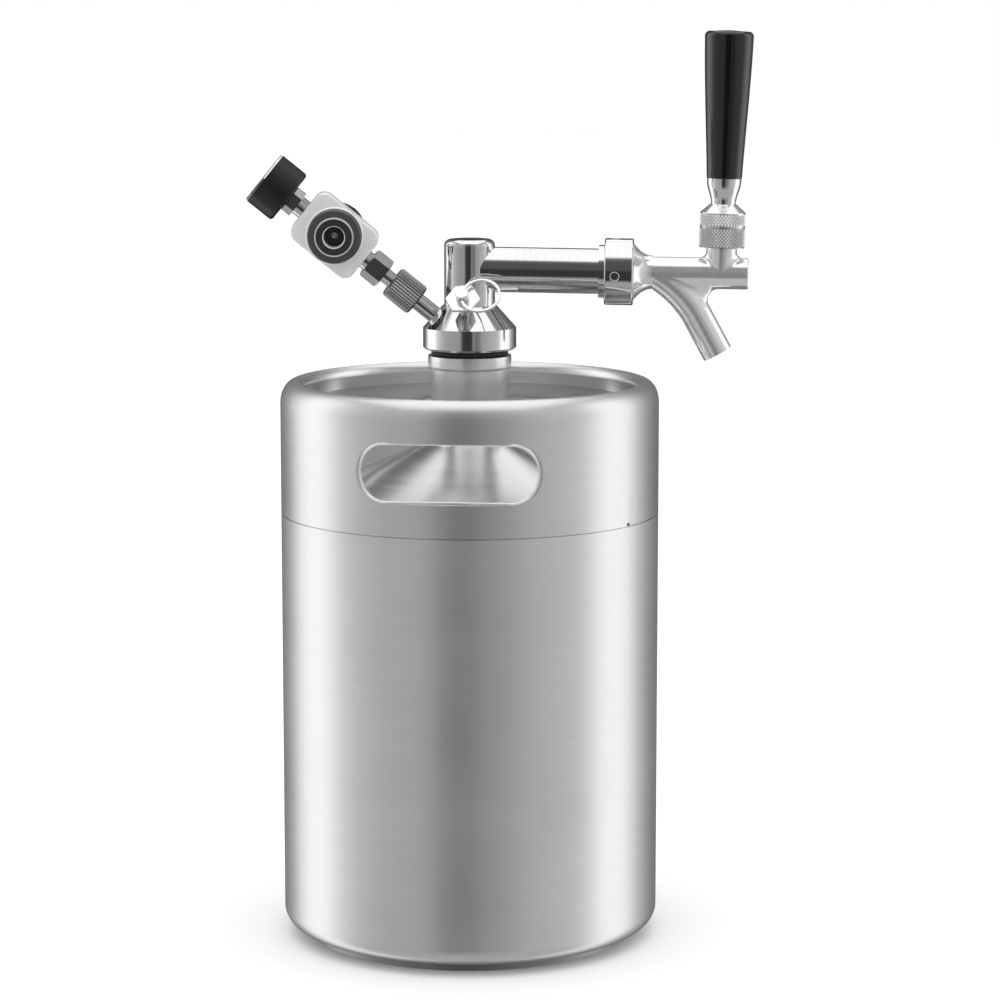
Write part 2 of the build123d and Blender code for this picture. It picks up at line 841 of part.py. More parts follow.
# ---- Regulator: its nose axis is level and square to the gas line --------------------------------
block_middle = (block_span[0] + block_span[1]) / 2
nose = lathe_plane(gas.from_local_coords((0, block_middle, 0)), gas.z_dir, gas.x_dir)
gauge_root = 92.0
piston_floor = -1.0
web_front = 3.0
piston_bore = 9.8
with BuildPart() as regulator_body:
    with BuildSketch(square_to(nose, -block_half_depth)):
        RectangleRounded(block_width, block_span[1] - block_span[0], 5.0)
    extrude(amount=2 * block_half_depth)
    fillet(regulator_body.edges().group_by(Axis(nose.origin, nose.y_dir))[-1], 0.8)
    fillet(regulator_body.edges().group_by(Axis(nose.origin, nose.y_dir))[0], 0.8)
    for radius, start, end in ((piston_bore, -10, piston_floor), (7.0, web_front, 10), (gas_bore, -2, 4)):
        with BuildSketch(square_to(nose, start)):
            Circle(radius)
        extrude(amount=end - start, mode=Mode.SUBTRACT)
    side = Plane(gas.from_local_coords((0, block_span[0] - 1, 0)), x_dir=gas.x_dir, z_dir=gas.y_dir)
    for radius, start, end in ((3.0, 0, 5.0), (gas_bore, 4, 33), (3.0, gauge_root - block_span[0] + 1, 40)):
        with BuildSketch(side.offset(start)):
            Circle(radius)
        extrude(amount=end - start, mode=Mode.SUBTRACT)
save(regulator_body, "regulator_body")

socket_radius = 4.76
socket_floor = 7.5
socket_mouth = 17.8
sleeve_radius = 8.2
housing_corners = [
    (2.0, web_front),
    (7.0, web_front),
    (7.0, block_half_depth),
    (13.3, block_half_depth),
    (13.3, 11.0),
    (12.2, 11.6),
    (12.2, 16.0),
    (11.7, 16.5),
    (sleeve_radius, 16.5),
    (sleeve_radius, 10.0),
    (6.0, 10.0),
    (6.0, 5.0),
    (2.0, 5.0),
]
socket_housing = turned(housing_corners, nose)
save(socket_housing, "socket_housing")

sleeve_corners = [
    (socket_radius, socket_floor),
    (socket_radius, socket_mouth),
    (5.4, socket_mouth),
    (5.4, 17.0),
    (7.6, 17.0),
    (7.6, socket_mouth),
    (sleeve_radius, socket_mouth),
    (sleeve_radius, 10.0),
    (6.0, 10.0),
    (6.0, socket_floor),
]
cartridge_socket = turned(sleeve_corners, nose)
save(cartridge_socket, "cartridge_socket")

socket_ring = tube(5.4, 7.6, 17.0, 17.5, nose)
save(socket_ring, "socket_ring")

pin_corners = [(0, 5.0), (6.0, 5.0), (6.0, 6.2), (1.0, 6.2), (0.3, 7.2), (0, 7.2)]
piercing_pin = turned(pin_corners, nose)
save(piercing_pin, "piercing_pin")

cartridge_seal = tube(1.4, 6.0, 6.2, socket_floor, nose)
save(cartridge_seal, "cartridge_seal")

piston_radius = 9.5
piston_groove = (-4.9, -3.5)
groove_radius = 8.6
piston_corners = [
    (0, -5.5),
    (piston_radius, -5.5),
    (piston_radius, piston_groove[0]),
    (groove_radius, piston_groove[0]),
    (groove_radius, piston_groove[1]),
    (piston_radius, piston_groove[1]),
    (piston_radius, -2.5),
    (0, -2.5),
]
regulator_piston = turned(piston_corners, nose)
save(regulator_piston, "regulator_piston")

piston_seal = tube(groove_radius, piston_bore, *piston_groove, nose)
save(piston_seal, "piston_seal")

spring_start, spring_end = -11.6, -6.1
pressure_spring = coil(nose, 6.6, 0.5, spring_start, spring_end, 3.5)
save(pressure_spring, "pressure_spring")

sleeve_end = -17.0
bonnet_bore = 10.2
bonnet_corners = [(bonnet_bore, -9.0), (12.0, -9.0), (12.0, sleeve_end), (bonnet_bore, sleeve_end)]
regulator_bonnet = turned(bonnet_corners, nose)
save(regulator_bonnet, "regulator_bonnet")

adjusting_nut = turned([(2.3, -15.2), (9.8, -15.2), (9.8, -13.2), (2.3, -13.2)], nose)
save(adjusting_nut, "adjusting_nut")

knob_front, knob_back = -9.5, -19.0
knob_radius = 14.0
grip_count = 24
with BuildPart() as pressure_knob:
    with BuildSketch(nose):
        with BuildLine():
            FilletPolyline(
                (12.4, knob_front),
                (knob_radius, knob_front),
                (knob_radius, knob_back),
                (0, knob_back),
                (0, -13.5),
                (1.9, -13.5),
                (1.9, sleeve_end - 0.4),
                (12.4, sleeve_end - 0.4),
                radius=[0, 0.5, 1.2, 0, 0, 0, 0, 0],
                close=True,
            )
        make_face()
    revolve(axis=Axis(nose.origin, nose.y_dir))
    with BuildSketch(square_to(nose, knob_front)):
        with PolarLocations(knob_radius + 0.45, grip_count):
            Circle(0.9)
    extrude(amount=knob_back - knob_front + 1.6, mode=Mode.SUBTRACT)
save(pressure_knob, "pressure_knob")

# ---- Pressure gauge -------------------------------------------------------------------------------
hex_span = (101.3, case_span[0])
hex_flats = 11.2
with BuildPart() as gauge_stem:
    with BuildSketch(square_to(gas, gauge_root)):
        Circle(3.0)
    extrude(amount=block_span[1] - gauge_root)
    with BuildSketch(square_to(gas, block_span[1])):
        Circle(4.5)
    extrude(amount=hex_span[0] - block_span[1])
    with BuildSketch(square_to(gas, hex_span[0])):
        RegularPolygon(hex_flats / 2, 6, major_radius=False)
    extrude(amount=hex_span[1] - hex_span[0])
    chamfer(gauge_stem.faces().sort_by(Axis(gas.origin, gas.y_dir))[-1].edges(), 0.4)
    with BuildSketch(square_to(gas, gauge_root)):
        Circle(1.0)
    extrude(amount=hex_span[1] - gauge_root, mode=Mode.SUBTRACT)
save(gauge_stem, "gauge_stem")

case_corners = [
    (1.0, case_span[0]),
    (case_radius, case_span[0]),
    (case_radius, case_span[1]),
    (12.0, case_span[1]),
    (12.0, case_span[0] + 1.5),
    (1.0, case_span[0] + 1.5),
]
gauge_case = turned(case_corners, gas, rounding=[0, 1.6, 0.4, 0, 0, 0])
save(gauge_case, "gauge_case")

tube_base = case_span[0] + 1.5
bourdon_radius = 8.0
bourdon_height = 111.5
with BuildPart() as bourdon_tube:
    with BuildSketch(square_to(gas, tube_base)):
        with Locations((bourdon_radius / 2, 0)):
            Rectangle(bourdon_radius + 4, 4)
    extrude(amount=bourdon_height - tube_base)
    with BuildSketch(gas):
        with Locations((bourdon_radius, bourdon_height)):
            Rectangle(1.4, 3.0)
    revolve(axis=Axis(gas.origin, gas.y_dir), revolution_arc=250)
save(bourdon_tube, "bourdon_tube")

dial_span = (116.8, 117.4)
gauge_dial = tube(0.8, 12.0, *dial_span, gas)
save(gauge_dial, "gauge_dial")

window_corners = [(0, 119.6), (12.0, 119.6), (12.0, 120.5), (12.9, 120.5), (12.9, 121.5), (0, 121.5)]
gauge_window = turned(window_corners, gas, rounding=[0, 0, 0, 0, 0.5, 0])
save(gauge_window, "gauge_window")

needle_turn = 45.0
with BuildPart() as gauge_needle:
    with BuildSketch(square_to(gas, 114.0)):
        Circle(0.5)
    extrude(amount=4.2)
    with BuildSketch(square_to(gas, 118.2)):
        Circle(1.6)
        with BuildLine(Rot(Z=needle_turn)):
            Polyline((-3.5, -0.5), (9.5, -0.15), (9.5, 0.15), (-3.5, 0.5), close=True)
        make_face()
    extrude(amount=0.6)
save(gauge_needle, "gauge_needle")

# ---- Relief valve ----------------------------------------------------------------------------------
relief_bottom = -5.0
relief_shoulder = 7.0
stem_radius = 1.05
chamber_radius = 2.3
with BuildPart() as relief_body:
    with BuildSketch(square_to(relief, relief_bottom)):
        Circle(relief_bore)
    extrude(amount=relief_shoulder - relief_bottom)
    with BuildSketch(square_to(relief, relief_shoulder)):
        RegularPolygon(7.0, 6, major_radius=False, rotation=30)
    extrude(amount=relief_flange_top - relief_shoulder)
    fillet(relief_body.faces().sort_by(Axis(relief.origin, relief.y_dir))[-1].edges(), 0.3)
    with BuildSketch(square_to(relief, relief_bottom)):
        Circle(chamber_radius)
    extrude(amount=relief_shoulder - 1 - relief_bottom, mode=Mode.SUBTRACT)
    with BuildSketch(square_to(relief, relief_bottom)):
        Circle(stem_radius + 0.08)
    extrude(amount=20, mode=Mode.SUBTRACT)
save(relief_body, "relief_body")

button_span = (relief_flange_top + 0.3, relief_flange_top + 4.0)
hole_height = (button_span[0] + button_span[1]) / 2
hole_radius = 1.25
button_radius = 3.0
with BuildPart() as relief_stem:
    with BuildSketch(relief):
        with BuildLine():
            FilletPolyline(
                (0, -4.3),
                (2.0, -4.3),
                (2.0, -3.3),
                (stem_radius, -3.3),
                (stem_radius, button_span[0]),
                (button_radius, button_span[0]),
                (button_radius, button_span[1]),
                (0, button_span[1]),
                radius=[0, 0, 0, 0, 0, 0, 0.5, 0],
                close=True,
            )
        make_face()
    revolve(axis=Axis(relief.origin, relief.y_dir))
    across = Plane(relief.from_local_coords((-5, hole_height, 0)), z_dir=relief.x_dir)
    with BuildSketch(across):
        Circle(hole_radius)
    extrude(amount=10, mode=Mode.SUBTRACT)
save(relief_stem, "relief_stem")

relief_seal = turned([(0, relief_bottom), (2.0, relief_bottom), (2.0, -4.3), (0, -4.3)], relief)
save(relief_seal, "relief_seal")

relief_spring = coil(relief, 1.6, 0.25, -2.95, 3.6, 5)
save(relief_spring, "relief_spring")

ring_sag = ring_wire - 0.39
with BuildPart() as pull_ring:
    hub = relief.from_local_coords((0, hole_height, 0))
    ring_centre = relief.from_local_coords((0, hole_height, ring_radius - ring_sag))
    with BuildSketch(Plane(hub - relief.z_dir * ring_sag, z_dir=relief.x_dir)):
        Circle(ring_wire)
    revolve(axis=Axis(ring_centre, relief.y_dir), revolution_arc=360)
save(pull_ring, "pull_ring")
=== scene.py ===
"""The mini keg's looks: its metal, plastic and rubber finishes, the knurled rings, light and camera."""

import math

import bmesh
import bpy
from mathutils import Matrix, Vector


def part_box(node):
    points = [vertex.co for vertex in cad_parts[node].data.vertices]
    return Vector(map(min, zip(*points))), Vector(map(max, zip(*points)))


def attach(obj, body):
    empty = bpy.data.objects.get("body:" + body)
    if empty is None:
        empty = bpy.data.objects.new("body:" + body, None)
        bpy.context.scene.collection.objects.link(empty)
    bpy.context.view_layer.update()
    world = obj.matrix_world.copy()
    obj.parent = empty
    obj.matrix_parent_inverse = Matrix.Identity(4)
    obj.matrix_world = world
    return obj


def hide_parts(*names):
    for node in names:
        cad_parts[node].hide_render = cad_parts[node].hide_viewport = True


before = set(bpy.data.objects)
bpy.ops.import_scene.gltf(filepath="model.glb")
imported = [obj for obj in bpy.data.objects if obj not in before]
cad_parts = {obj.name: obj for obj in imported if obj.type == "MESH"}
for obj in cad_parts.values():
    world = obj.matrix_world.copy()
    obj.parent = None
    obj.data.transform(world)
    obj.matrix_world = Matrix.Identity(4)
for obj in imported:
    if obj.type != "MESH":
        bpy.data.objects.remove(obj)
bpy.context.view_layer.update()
scene = bpy.context.scene
scene.view_settings.view_transform = "Standard"
MM = 0.001


def heading(azimuth, elevation):
    """The unit vector at these two angles, in degrees, azimuth from +X towards +Y."""
    turn, lift = math.radians(azimuth), math.radians(elevation)
    return Vector((math.cos(lift) * math.cos(turn), math.cos(lift) * math.sin(turn), math.sin(lift)))


def middle(node):
    low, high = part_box(node)
    return (low + high) / 2


# ---- Axes that the turned parts share --------------------------------------------------------------
UP = Vector((0, 0, 1))
TAP = heading(0, -0.8)
LEVER = heading(0, 88.5)
GAS = heading(184.35, 39.1)
RELIEF = heading(-96.0, 41.7)
NOSE = (heading(-90, 0) - GAS * heading(-90, 0).dot(GAS)).normalized()

# ---- Camera ----------------------------------------------------------------------------------------
CAMERA_PLACE = (0.0934, -1.5149, 0.4340)
CAMERA_TILT = (81.372, 0.0, 3.0)
CAMERA_LENS = 118.9
SENSOR = 36.0

lens = bpy.data.cameras.new("camera")
lens.sensor_width = SENSOR
lens.lens = CAMERA_LENS
lens.clip_end = 50
camera = bpy.data.objects.new("camera", lens)
camera.location = CAMERA_PLACE
camera.rotation_euler = [math.radians(angle) for angle in CAMERA_TILT]
scene.collection.objects.link(camera)
scene.camera = camera

# ---- Studio: a white room with a dark flag in front, as polished steel shows it -------------------
# Brightness by azimuth around the object, from straight behind, past the left, to the front and back
ROUND = (
    (-180, 0.06), (-160, 0.08), (-146, 0.16), (-134, 0.36), (-122, 1.10), (-102, 1.42), (-88, 1.00),
    (-74, 0.62), (-54, 0.43), (-36, 0.38), (-26, 0.37), (-19, 0.30), (-13, 0.07), (-4, 0.045), (8, 0.05),
    (13, 0.26), (20, 0.20), (27, 0.25), (34, 0.38), (50, 0.47), (70, 0.57), (82, 0.80), (94, 1.35),
    (110, 1.35), (122, 0.70), (136, 0.34), (152, 0.12), (180, 0.06),
)
BRIGHTEST = 1.6


def world_light():
    """A white background for the camera, soft white light for matt things, and the room for gloss."""
    world = bpy.data.worlds.new("studio")
    scene.world = world
    world.use_nodes = True
    tree = world.node_tree
    tree.nodes.clear()

    def put(kind, **settings):
        node = tree.nodes.new(kind)
        for name, value in settings.items():
            setattr(node, name, value)
        return node

    def math_node(operation, first, second=None, third=None):
        node = put("ShaderNodeMath", operation=operation)
        for index, value in enumerate((first, second, third)):
            if isinstance(value, (int, float)):
                node.inputs[index].default_value = value
            elif value is not None:
                tree.links.new(value, node.inputs[index])
        return node.outputs[0]

    def between(value, low, high):
        node = put("ShaderNodeMapRange", interpolation_type="SMOOTHSTEP")
        tree.links.new(value, node.inputs["Value"])
        node.inputs["From Min"].default_value = low
        node.inputs["From Max"].default_value = high
        return node.outputs["Result"]

    def mixed(share, first, second):
        node = put("ShaderNodeMix")
        tree.links.new(share, node.inputs["Factor"])
        for name, value in (("A", first), ("B", second)):
            if isinstance(value, (int, float)):
                node.inputs[name].default_value = value
            else:
                tree.links.new(value, node.inputs[name])
        return node.outputs["Result"]

    direction = put("ShaderNodeTexCoord").outputs["Generated"]
    split = put("ShaderNodeSeparateXYZ")
    tree.links.new(direction, split.inputs[0])
    x, y, z = split.outputs
    azimuth = math_node("ARCTAN2", x, math_node("MULTIPLY", y, -1.0))
    share = math_node("MULTIPLY_ADD", azimuth, 0.5 / math.pi, 0.5)
    curve = put("ShaderNodeFloatCurve")
    points = curve.mapping.curves[0].points
    for _ in range(len(ROUND) - 2):
        points.new(0.5, 0.5)
    for point, (angle, level) in zip(points, ROUND):
        point.location = ((angle + 180) / 360, level / BRIGHTEST)
        point.handle_type = "AUTO_CLAMPED"
    curve.mapping.update()
    tree.links.new(share, curve.inputs["Value"])
    around = math_node("MULTIPLY", curve.outputs[0], BRIGHTEST)

    # Overhead softbox: a rectangle on the plane one unit above. Forward is towards the camera's side
    overhead = between(z, 0.05, 0.2)
    height = math_node("MAXIMUM", z, 0.02)
    across = math_node("ABSOLUTE", math_node("DIVIDE", x, height))
    forward = math_node("DIVIDE", math_node("MULTIPLY", y, -1.0), height)
    inside = math_node("SUBTRACT", 1.0, between(across, 0.6, 0.85))
    inside = math_node("MULTIPLY", inside, between(forward, -0.92, -0.78))
    inside = math_node("MULTIPLY", inside, math_node("SUBTRACT", 1.0, between(forward, 0.58, 0.95)))
    inside = math_node("MULTIPLY", inside, overhead)
    lifted = math_node("ADD", around, math_node("MULTIPLY", between(z, 0.0, 0.25), 0.055))
    ceiling = mixed(between(z, 0.55, 0.8), lifted, 0.20)
    above = mixed(inside, ceiling, 1.3)
    # Its narrow tail behind the object, which the dome shows
    tail = math_node("MULTIPLY", between(forward, -1.7, -1.4), overhead)
    tail = math_node("MULTIPLY", tail, math_node("SUBTRACT", 1.0, between(forward, -0.95, -0.85)))
    tail = math_node("MULTIPLY", tail, math_node("SUBTRACT", 1.0, between(across, 0.30, 0.42)))
    above = mixed(tail, above, 1.4)
    # The floor's glow, below
    drop = between(math_node("MULTIPLY", z, -1.0), 0.4, 0.62)
    near = between(math_node("MULTIPLY", y, -1.0), -0.12, 0.05)
    below = mixed(math_node("MULTIPLY", drop, near), above, 0.42)

    rays = put("ShaderNodeLightPath").outputs
    seen = mixed(rays["Is Diffuse Ray"], below, 1.15)
    seen = mixed(rays["Is Camera Ray"], seen, 1.0)
    background = put("ShaderNodeBackground")
    background.inputs["Color"].default_value = (1, 1, 1, 1)
    tree.links.new(seen, background.inputs["Strength"])
    tree.links.new(background.outputs[0], put("ShaderNodeOutputWorld").inputs["Surface"])


world_light()

softbox = bpy.data.lights.new("softbox", "AREA")
softbox.shape = "RECTANGLE"
softbox.size = 1.6
softbox.size_y = 1.2
softbox.energy = 5
softbox_object = bpy.data.objects.new("softbox", softbox)
softbox_object.location = (0, -0.3, 1.6)
softbox_object.visible_glossy = False
scene.collection.objects.link(softbox_object)


# ---- Materials --------------------------------------------------------------------------------------
class Finish:
    """A node material. Its patterns lie in the object's own coordinates, in metres."""

    def __init__(self, name, **constants):
        self.material = bpy.data.materials.new(name)
        self.material.use_nodes = True
        self.tree = self.material.node_tree
        self.shader = self.tree.nodes["Principled BSDF"]
        for socket, value in constants.items():
            self.shader.inputs[socket.replace("_", " ")].default_value = value

    def put(self, kind, inputs=(), **settings):
        node = self.tree.nodes.new(kind)
        for name, value in settings.items():
            setattr(node, name, value)
        for name, value in dict(inputs).items():
            if isinstance(value, bpy.types.NodeSocket):
                self.tree.links.new(value, node.inputs[name])
            else:
                node.inputs[name].default_value = value
        return node

    def link(self, output, socket):
        self.tree.links.new(output, self.shader.inputs[socket])

    def place(self, along=UP, scale=(1, 1, 1)):
        """The object's coordinates, turned so that Z runs along a part's axis, then stretched."""
        turn = Vector(along).rotation_difference(UP).to_euler()
        here = self.put("ShaderNodeTexCoord").outputs["Object"]
        turned = self.put("ShaderNodeMapping", {"Vector": here, "Rotation": turn}).outputs[0]
        return self.put("ShaderNodeMapping", {"Vector": turned, "Scale": scale}).outputs[0]

    def noise(self, place, scale=1.0, detail=2.0, roughness=0.5):
        inputs = {"Vector": place, "Scale": scale, "Detail": detail, "Roughness": roughness}
        return self.put("ShaderNodeTexNoise", inputs).outputs["Fac"]

    def spread(self, value, low, high, bottom=0.3, top=0.7):
        inputs = {"Value": value, "From Min": bottom, "From Max": top, "To Min": low, "To Max": high}
        return self.put("ShaderNodeMapRange", inputs).outputs["Result"]

    def blend(self, share, first, second):
        mix = self.put("ShaderNodeMix", data_type="RGBA")
        self.tree.links.new(share, mix.inputs["Factor"])
        mix.inputs["A"].default_value = (*first, 1)
        mix.inputs["B"].default_value = (*second, 1)
        return mix.outputs["Result"]

    def average(self, first, second, share=0.5):
        return self.put("ShaderNodeMix", {"Factor": share, "A": first, "B": second}).outputs["Result"]

    def bump(self, height, strength, distance):
        inputs = {"Height": height, "Strength": strength, "Distance": distance}
        self.link(self.put("ShaderNodeBump", inputs).outputs["Normal"], "Normal")


def shade(colour, factor):
    return tuple(min(1.0, part * factor) for part in colour)


POLISHED_ROUGHNESS = 0.11


def turned_metal(
    name, colour, smooth, rough, along=UP, lines=1600, streak=30, relief=0.02, stretch=0.0,
    polished=0.0, diffuse=0.0,
):
    """Metal cut or brushed round an axis: fine rings whose gloss and colour vary along the axis.

    Stretch draws the reflections out along Z. Within the polished radius of Z the metal is glossier.
    Diffuse is the share of light that its surface scatters, as satin plating does."""
    finish = Finish(name, Metallic=1.0 - diffuse, Anisotropic=stretch)
    rings = finish.noise(finish.place(along, (streak, streak, lines)), detail=3.0, roughness=0.6)
    clouds = finish.noise(finish.place(along, (22, 22, 22)), detail=3.0)
    both = finish.average(rings, clouds, 0.4)
    gloss = finish.spread(both, smooth, rough)
    if polished:
        reach = finish.put("ShaderNodeVectorMath", {0: finish.place(scale=(1, 1, 0))}, operation="LENGTH")
        brushed_share = finish.spread(reach.outputs["Value"], 0.0, 1.0, polished, polished + 3 * MM)
        mix = finish.put("ShaderNodeMix", {"Factor": brushed_share, "A": POLISHED_ROUGHNESS, "B": gloss})
        gloss = mix.outputs["Result"]
    finish.link(gloss, "Roughness")
    tint = finish.blend(finish.spread(both, 0, 1), shade(colour, 0.93), shade(colour, 1.05))
    finish.link(tint, "Base Color")
    finish.bump(rings, relief, 0.00004)
    if stretch:
        tangent = finish.put("ShaderNodeTangent", direction_type="RADIAL", axis="Z")
        finish.link(tangent.outputs[0], "Tangent")
        finish.shader.inputs["Anisotropic Rotation"].default_value = 0.25
    return finish.material


def blasted_metal(name, colour, smooth, rough, grain=2600, relief=0.12, diffuse=0.0):
    """Metal with an even, fine grain."""
    finish = Finish(name, Metallic=1.0 - diffuse)
    pits = finish.noise(finish.place(), grain, 2.0, 0.6)
    clouds = finish.noise(finish.place(), 60, 3.0)
    finish.link(finish.spread(clouds, smooth, rough), "Roughness")
    tint = finish.blend(finish.spread(clouds, 0, 1), shade(colour, 0.95), shade(colour, 1.04))
    finish.link(tint, "Base Color")
    finish.bump(pits, relief, 0.00003)
    return finish.material


def highlight_ringed_metal(name, dark, bright, along, through, rings, rough=0.3, soft=0.12 * MM):
    """Dark metal round an axis, painted bright within each (inner, outer) ring of distances from it:
    painted highlights where its edges and tips catch the light.
    """
    finish = Finish(name, Metallic=0.6)
    here = finish.put("ShaderNodeTexCoord").outputs["Object"]
    away = finish.put("ShaderNodeVectorMath", {0: here, 1: through}, operation="SUBTRACT").outputs[0]
    turned = finish.put("ShaderNodeVectorMath", {0: away, 1: along}, operation="CROSS_PRODUCT").outputs[0]
    reach = finish.put("ShaderNodeVectorMath", {0: turned}, operation="LENGTH").outputs["Value"]
    share = None
    for low, high in rings:
        rise = finish.spread(reach, 0.0, 1.0, low - soft, low + soft)
        fall = finish.spread(reach, 1.0, 0.0, high - soft, high + soft)
        band = finish.put("ShaderNodeMath", {0: rise, 1: fall}, operation="MULTIPLY").outputs[0]
        if share is not None:
            band = finish.put("ShaderNodeMath", {0: share, 1: band}, operation="MAXIMUM").outputs[0]
        share = band
    grain = finish.noise(finish.place(along, (40, 40, 2600)), detail=3.0)
    # Painted highlight: the bright rings' colour stands in for light caught on edges and tips
    finish.link(finish.blend(share, dark, bright), "Base Color")
    finish.link(finish.spread(grain, rough * 0.85, rough * 1.15), "Roughness")
    finish.bump(grain, 0.03, 0.00003)
    return finish.material


def moulded(name, colour, smooth, rough, grain=1500, relief=0.08, coat=0.0, index=1.5):
    """Plastic, rubber or paint: a fine grain, and gloss that varies a little."""
    finish = Finish(name, Coat_Weight=coat, Coat_Roughness=0.04, Coat_IOR=index, IOR=index)
    pits = finish.noise(finish.place(), grain, 2.0, 0.6)
    clouds = finish.noise(finish.place(), 45, 4.0)
    finish.link(finish.spread(clouds, smooth, rough), "Roughness")
    tint = finish.blend(finish.spread(clouds, 0, 1), shade(colour, 0.85), shade(colour, 1.1))
    finish.link(tint, "Base Color")
    finish.bump(pits, relief, 0.00005)
    return finish.material


def clear(name):
    finish = Finish(name, Transmission_Weight=1.0, IOR=1.49)
    clouds = finish.noise(finish.place(), 80, 3.0)
    finish.link(finish.spread(clouds, 0.01, 0.05), "Roughness")
    finish.link(finish.blend(clouds, (0.95, 0.97, 0.97), (1.0, 1.0, 1.0)), "Base Color")
    return finish.material


STEEL = (0.76, 0.76, 0.755)
BRIGHT = (0.84, 0.84, 0.84)
brushed = turned_metal("brushed", (0.74, 0.74, 0.735), 0.30, 0.39, UP, 2200, 14, 0.08, 0.5, diffuse=0.14)
skirt = turned_metal("skirt", (0.74, 0.74, 0.735), 0.30, 0.39, UP, 2200, 14, 0.08, 0.5, 75.5 * MM, 0.10)
# The foot ring's steel is coloured dark grey as painted shade, for the shadow it sits in under the keg;
# its gloss is also duller
dull_shaded_steel = turned_metal("dull_shaded_steel", (0.30, 0.30, 0.30), 0.35, 0.5, UP, 1500, 20, 0.05)
inner = turned_metal("inner", (0.70, 0.70, 0.695), 0.20, 0.26, UP, 1100, 12, 0.01, 0.3)
satin = turned_metal("satin", (0.80, 0.80, 0.79), 0.17, 0.22, UP, 2600, 10, 0.012, 0.6, diffuse=0.16)
mirror = turned_metal("mirror", STEEL, 0.035, 0.085, UP, 900, 60, 0.012)
mirror_tap = turned_metal("mirror_tap", STEEL, 0.035, 0.085, TAP, 900, 60, 0.012)
cast_chrome = turned_metal("cast_chrome", BRIGHT, 0.10, 0.16, TAP, 260, 220, 0.01, diffuse=0.22)
mirror_lever = turned_metal("mirror_lever", BRIGHT, 0.03, 0.08, LEVER, 1200, 60, 0.012)
bright_gas = turned_metal("bright_gas", STEEL, 0.09, 0.18, GAS, 2400, 40, 0.03)
bright_relief = turned_metal("bright_relief", BRIGHT, 0.10, 0.2, RELIEF, 2400, 40, 0.03, diffuse=0.25)
bright_nose = turned_metal("bright_nose", BRIGHT, 0.12, 0.22, NOSE, 2600, 40, 0.04, diffuse=0.6)
satin_block = blasted_metal("satin_block", (0.80, 0.80, 0.80), 0.34, 0.42, diffuse=0.66)
SOCKET_MIDDLE = middle("cartridge_socket")
# The bright rings on the socket and its housing are painted highlights, for light caught on their edges
# and chamfers
grey_anodised = highlight_ringed_metal(
    "grey_anodised", (0.10, 0.10, 0.10), (0.95, 0.95, 0.95), NOSE, SOCKET_MIDDLE,
    ((8.3 * MM, 8.95 * MM), (12.5 * MM, 14.5 * MM)), 0.38,
)
socket_grey = highlight_ringed_metal(
    "socket_grey", (0.055, 0.055, 0.055), (0.95, 0.95, 0.95), NOSE, SOCKET_MIDDLE,
    ((4.3 * MM, 5.2 * MM), (8.3 * MM, 9.5 * MM)), 0.34,
)
nickel = turned_metal("nickel", (0.88, 0.88, 0.87), 0.10, 0.2, RELIEF, 1800, 60, 0.02, diffuse=0.3)
knurled = blasted_metal("knurled", (0.84, 0.84, 0.83), 0.10, 0.18, 2200, 0.04, diffuse=0.15)
# Painted shade and painted highlight on the knurls: below the tips' radius the metal is coloured dark, as
# shade in the valleys, and the tips are coloured bright, as the light they catch
knurl_shade_highlight = highlight_ringed_metal(
    "knurl_shade_highlight", (0.24, 0.24, 0.24), (0.95, 0.95, 0.94), LEVER, middle("faucet_bonnet"),
    ((10.48 * MM, 14 * MM),), 0.22, 0.24 * MM,
)
lip_steel = turned_metal("lip_steel", (0.90, 0.90, 0.895), 0.14, 0.22, UP, 1200, 30, 0.01, diffuse=0.35)
# Painted shade and painted highlight on the gas nut's flutes: coloured dark in the valleys and lighter on
# the ridges
fluted_shade_highlight = highlight_ringed_metal(
    "fluted_shade_highlight", (0.12, 0.12, 0.12), (0.60, 0.60, 0.59), GAS, middle("gas_nut"), ((7.45 * MM, 9 * MM),),
    0.24, 0.15 * MM,
)
spring_steel = blasted_metal("spring_steel", (0.55, 0.55, 0.56), 0.2, 0.3)
brass = turned_metal("brass", (0.78, 0.58, 0.28), 0.16, 0.28, GAS, 2400, 40, 0.04)
gloss_black = moulded("gloss_black", (0.004, 0.004, 0.005), 0.06, 0.11, 420, 0.015, 0.35, 1.5)
case_black = moulded("case_black", (0.007, 0.007, 0.007), 0.36, 0.5, 3200, 0.25)
rubber = moulded("rubber", (0.018, 0.018, 0.018), 0.5, 0.68, 2400, 0.3)
nylon = moulded("nylon", (0.80, 0.80, 0.76), 0.38, 0.5, 1800, 0.15)
dial_face = moulded("dial_face", (0.86, 0.86, 0.84), 0.42, 0.5, 2600, 0.08)
print_black = moulded("print_black", (0.03, 0.03, 0.03), 0.4, 0.5, 2600, 0.08)
needle_red = moulded("needle_red", (0.55, 0.025, 0.02), 0.3, 0.4, 2600, 0.1)
window = clear("window")

